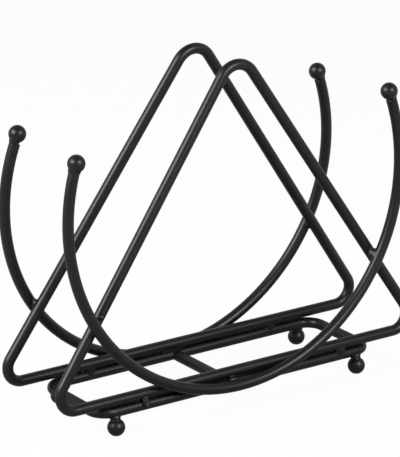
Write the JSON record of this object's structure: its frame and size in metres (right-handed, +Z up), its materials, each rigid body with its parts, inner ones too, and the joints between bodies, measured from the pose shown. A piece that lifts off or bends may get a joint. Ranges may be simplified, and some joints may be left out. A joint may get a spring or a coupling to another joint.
{
  "type": "wire napkin holder",
  "caption": "Black wire tissue and napkin holder: welded triangle sides with ball-tipped arcs on a footed base loop, open on top and at both ends for folded paper.",
  "frame": {"origin": "on the table under the middle of the holder, level with the flats of the ball feet", "axes": "+X along the length of the holder to the right, +Y from the front to the rear, +Z up"},
  "size_m": [0.1532, 0.0473, 0.1256],
  "materials": {
    "black_coat": "satin black powder coat on steel wire",
    "coated_weld": "satin black powder coat over weld metal"
  },
  "bodies": {
    "root": {"base_loop": "black_coat", "crossbar": "black_coat", "front_triangle": "black_coat", "rear_triangle": "black_coat", "front_arc": "black_coat", "rear_arc": "black_coat", "front_left_finial": "black_coat", "front_right_finial": "black_coat", "rear_left_finial": "black_coat", "rear_right_finial": "black_coat", "front_left_foot": "black_coat", "front_right_foot": "black_coat", "rear_left_foot": "black_coat", "rear_right_foot": "black_coat", "front_left_arc_weld": "coated_weld", "front_right_arc_weld": "coated_weld", "rear_left_arc_weld": "coated_weld", "rear_right_arc_weld": "coated_weld", "front_left_finial_weld": "coated_weld", "front_right_finial_weld": "coated_weld", "rear_left_finial_weld": "coated_weld", "rear_right_finial_weld": "coated_weld", "front_left_rail_weld": "coated_weld", "front_right_rail_weld": "coated_weld", "rear_left_rail_weld": "coated_weld", "rear_right_rail_weld": "coated_weld", "front_left_foot_weld": "coated_weld", "front_right_foot_weld": "coated_weld", "rear_left_foot_weld": "coated_weld", "rear_right_foot_weld": "coated_weld", "front_groove_weld": "coated_weld", "rear_groove_weld": "coated_weld", "front_crossbar_weld": "coated_weld", "rear_crossbar_weld": "coated_weld"}
  },
  "joints": []
}
